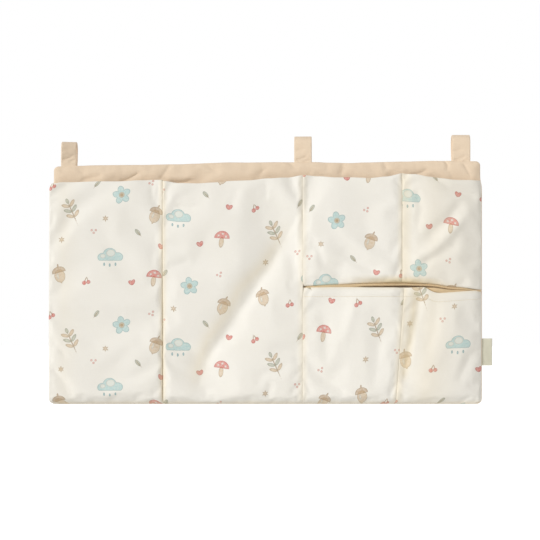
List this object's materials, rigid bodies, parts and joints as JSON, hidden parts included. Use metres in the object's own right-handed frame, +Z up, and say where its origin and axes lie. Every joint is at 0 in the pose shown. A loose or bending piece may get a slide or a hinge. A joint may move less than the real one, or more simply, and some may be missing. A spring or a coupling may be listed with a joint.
{
  "type": "bedside caddy",
  "caption": "Padded cotton bedside caddy with printed pockets that hangs from a bed rail by straps closing with hook and loop tape.",
  "frame": {"origin": "on the axis of the rail that the strap loops hang from, half-way along the panel", "axes": "+X along the rail to the right of someone facing the pockets, +Y backwards through the panel, +Z up"},
  "size_m": [0.6148, 0.0406, 0.365],
  "materials": {
    "beige_cotton": "plain woven beige cotton, matte",
    "printed_cotton": "cream cotton with a small scattered print, matte",
    "filling": "white polyester wadding",
    "thread": "cream sewing thread",
    "tape": "beige hook and loop tape",
    "label": "bare woven grey-beige ribbon"
  },
  "bodies": {
    "panel": {"rear_cover": "beige_cotton", "panel_filling": "filling", "front_lining": "beige_cotton", "left_divider_thread": "thread", "middle_divider_thread": "thread", "upper_divider_thread": "thread", "lower_divider_thread": "thread", "left_hook_tape": "tape", "middle_hook_tape": "tape", "right_hook_tape": "tape"},
    "left_pocket": {"left_pocket_lining": "beige_cotton", "left_pocket_filling": "filling", "left_pocket_print": "printed_cotton"},
    "centre_pocket": {"centre_pocket_lining": "beige_cotton", "centre_pocket_filling": "filling", "centre_pocket_print": "printed_cotton"},
    "upper_wide_pocket": {"upper_wide_pocket_lining": "beige_cotton", "upper_wide_pocket_filling": "filling", "upper_wide_pocket_print": "printed_cotton"},
    "upper_narrow_pocket": {"upper_narrow_pocket_lining": "beige_cotton", "upper_narrow_pocket_filling": "filling", "upper_narrow_pocket_print": "printed_cotton"},
    "lower_wide_pocket": {"lower_wide_pocket_lining": "beige_cotton", "lower_wide_pocket_filling": "filling", "lower_wide_pocket_print": "printed_cotton"},
    "lower_narrow_pocket": {"lower_narrow_pocket_lining": "beige_cotton", "lower_narrow_pocket_filling": "filling", "lower_narrow_pocket_print": "printed_cotton"},
    "left_strap": {"left_strap_front": "beige_cotton"},
    "left_strap_end": {"left_strap_rear": "beige_cotton", "left_loop_tape": "tape"},
    "middle_strap": {"middle_strap_front": "beige_cotton"},
    "middle_strap_end": {"middle_strap_rear": "beige_cotton", "middle_loop_tape": "tape"},
    "right_strap": {"right_strap_front": "beige_cotton"},
    "right_strap_end": {"right_strap_rear": "beige_cotton", "right_loop_tape": "tape"},
    "label": {"side_label": "label"}
  },
  "joints": [
    {"name": "left_pocket_gape", "type": "hinge", "parent": "panel", "child": "left_pocket", "pos_m": [-0.2215, -0.01215, -0.3534], "axis": [1, 0, 0], "range_deg": [0, 5], "stiffness_Nm_per_rad": 0.5},
    {"name": "centre_pocket_gape", "type": "hinge", "parent": "panel", "child": "centre_pocket", "pos_m": [-0.0455, -0.01215, -0.3534], "axis": [1, 0, 0], "range_deg": [0, 5], "stiffness_Nm_per_rad": 0.5},
    {"name": "upper_wide_pocket_gape", "type": "hinge", "parent": "panel", "child": "upper_wide_pocket", "pos_m": [0.1195, -0.01545, -0.1959], "axis": [1, 0, 0], "range_deg": [0, 9], "stiffness_Nm_per_rad": 0.1},
    {"name": "upper_narrow_pocket_gape", "type": "hinge", "parent": "panel", "child": "upper_narrow_pocket", "pos_m": [0.2445, -0.01545, -0.1959], "axis": [1, 0, 0], "range_deg": [0, 9], "stiffness_Nm_per_rad": 0.1},
    {"name": "lower_wide_pocket_gape", "type": "hinge", "parent": "panel", "child": "lower_wide_pocket", "pos_m": [0.1195, -0.01215, -0.3534], "axis": [1, 0, 0], "range_deg": [0, 9], "stiffness_Nm_per_rad": 0.1},
    {"name": "lower_narrow_pocket_gape", "type": "hinge", "parent": "panel", "child": "lower_narrow_pocket", "pos_m": [0.2445, -0.01215, -0.3534], "axis": [1, 0, 0], "range_deg": [0, 9], "stiffness_Nm_per_rad": 0.1},
    {"name": "left_strap_lean", "type": "hinge", "parent": "panel", "child": "left_strap", "pos_m": [-0.271, -0.0116, -0.0231], "axis": [1, 0, 0], "range_deg": [0, 85]},
    {"name": "left_strap_peel", "type": "hinge", "parent": "left_strap", "child": "left_strap_end", "pos_m": [-0.271, 0.0116, 0], "axis": [1, 0, 0], "range_deg": [0, 150]},
    {"name": "middle_strap_lean", "type": "hinge", "parent": "panel", "child": "middle_strap", "pos_m": [0.051, -0.0116, -0.0231], "axis": [1, 0, 0], "range_deg": [0, 85]},
    {"name": "middle_strap_peel", "type": "hinge", "parent": "middle_strap", "child": "middle_strap_end", "pos_m": [0.051, 0.0116, 0], "axis": [1, 0, 0], "range_deg": [0, 150]},
    {"name": "right_strap_lean", "type": "hinge", "parent": "panel", "child": "right_strap", "pos_m": [0.271, -0.0116, -0.0231], "axis": [1, 0, 0], "range_deg": [0, 85]},
    {"name": "right_strap_peel", "type": "hinge", "parent": "right_strap", "child": "right_strap_end", "pos_m": [0.271, 0.0116, 0], "axis": [1, 0, 0], "range_deg": [0, 150]},
    {"name": "label_swing", "type": "hinge", "parent": "panel", "child": "label", "pos_m": [0.3008, -0.0108, -0.2839], "axis": [0, 0, 1], "range_deg": [-75, 75], "stiffness_Nm_per_rad": 0.002}
  ]
}
